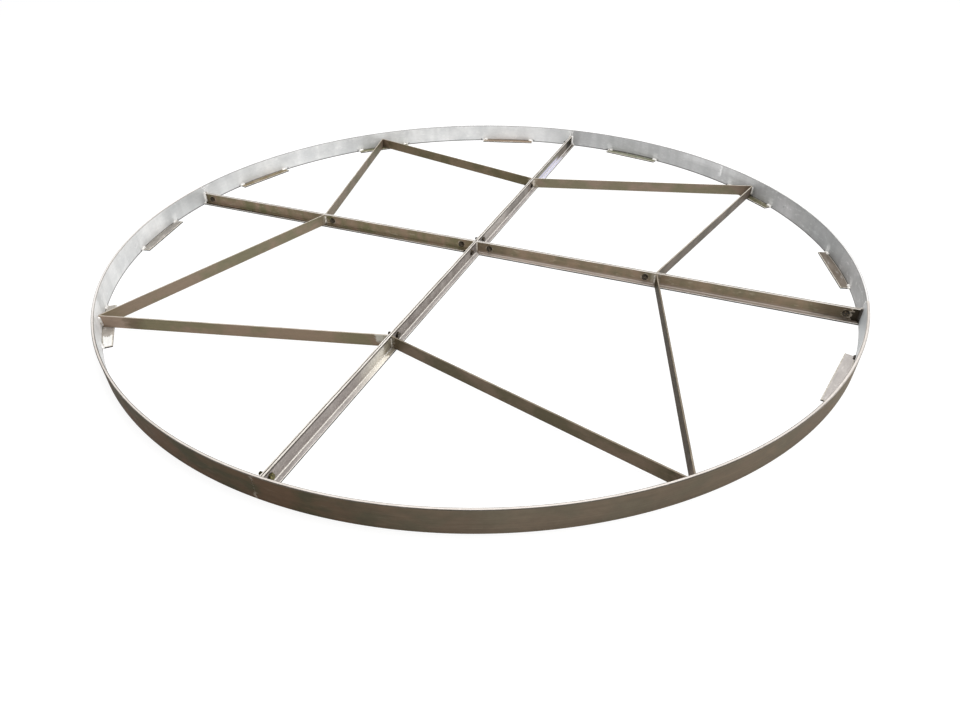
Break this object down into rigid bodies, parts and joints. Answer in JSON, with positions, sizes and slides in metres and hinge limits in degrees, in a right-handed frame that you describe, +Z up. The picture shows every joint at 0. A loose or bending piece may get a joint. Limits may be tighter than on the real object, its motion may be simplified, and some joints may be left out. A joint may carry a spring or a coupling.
{
  "type": "discus circle",
  "caption": "Dismountable metal discus throwing circle: bent flat rim on a bolted cross of angle bars, with V braces and base plates.",
  "frame": {"origin": "centre of the circle on the ground plane that the bars and the rim stand on", "axes": "+Z up, out of the throwing surface; the arms of the cross lie along X and Y"},
  "size_m": [2.516, 2.516, 0.075],
  "materials": {
    "rim": "mill finish, satin",
    "bar": "mill finish, dull",
    "plate": "mill finish, dull",
    "fastener": "zinc plated, yellow passivated"
  },
  "bodies": {
    "root": {"rim_north_east": "rim", "rim_north_west": "rim", "rim_south_west": "rim", "rim_south_east": "rim", "angle_north_east_east": "bar", "angle_north_east_north": "bar", "angle_north_west_north": "bar", "angle_north_west_west": "bar", "angle_south_west_west": "bar", "angle_south_west_south": "bar", "angle_south_east_south": "bar", "angle_south_east_east": "bar", "brace_north_east_east": "bar", "brace_north_east_north": "bar", "brace_north_west_north": "bar", "brace_north_west_west": "bar", "brace_south_west_west": "bar", "brace_south_west_south": "bar", "brace_south_east_south": "bar", "brace_south_east_east": "bar", "plate_north_east_1": "plate", "plate_north_east_2": "plate", "plate_north_east_3": "plate", "plate_north_west_1": "plate", "plate_north_west_2": "plate", "plate_north_west_3": "plate", "plate_south_west_1": "plate", "plate_south_west_2": "plate", "plate_south_west_3": "plate", "plate_south_east_1": "plate", "plate_south_east_2": "plate", "plate_south_east_3": "plate", "bolt_east_inner": "fastener", "bolt_east_middle": "fastener", "bolt_east_outer": "fastener", "bolt_north_inner": "fastener", "bolt_north_middle": "fastener", "bolt_north_outer": "fastener", "bolt_west_inner": "fastener", "bolt_west_middle": "fastener", "bolt_west_outer": "fastener", "bolt_south_inner": "fastener", "bolt_south_middle": "fastener", "bolt_south_outer": "fastener", "nut_east_inner": "fastener", "nut_east_middle": "fastener", "nut_east_outer": "fastener", "nut_north_inner": "fastener", "nut_north_middle": "fastener", "nut_north_outer": "fastener", "nut_west_inner": "fastener", "nut_west_middle": "fastener", "nut_west_outer": "fastener", "nut_south_inner": "fastener", "nut_south_middle": "fastener", "nut_south_outer": "fastener"}
  },
  "joints": []
}
